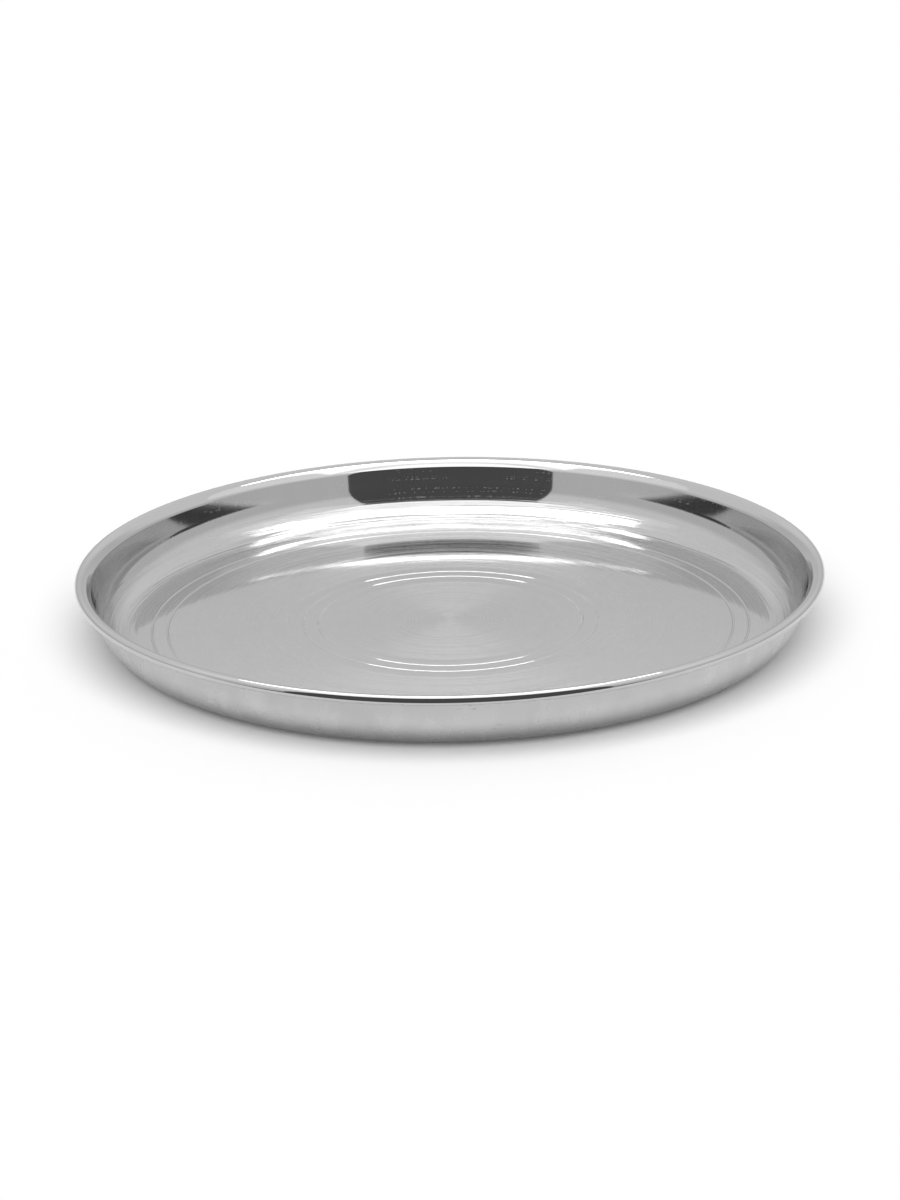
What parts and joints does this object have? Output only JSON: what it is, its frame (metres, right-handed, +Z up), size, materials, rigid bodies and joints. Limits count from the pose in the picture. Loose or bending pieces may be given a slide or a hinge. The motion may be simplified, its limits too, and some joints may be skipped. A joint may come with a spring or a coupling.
{
  "type": "thali plate",
  "caption": "Round polished steel dining plate with a flat floor, turned ring lines, steep side and a flared, rolled rim.",
  "frame": {"origin": "middle of the flat underside, on the surface that the plate rests on", "axes": "+Z up along the axis that the plate is turned about, out of its open side; X and Y are any two level directions at right angles"},
  "size_m": [0.3, 0.3, 0.025],
  "materials": {
    "steel": "stainless steel, mirror polished inside with faint circular polishing marks, softer satin outside"
  },
  "bodies": {
    "root": {"pressed_plate": "steel"}
  },
  "joints": []
}
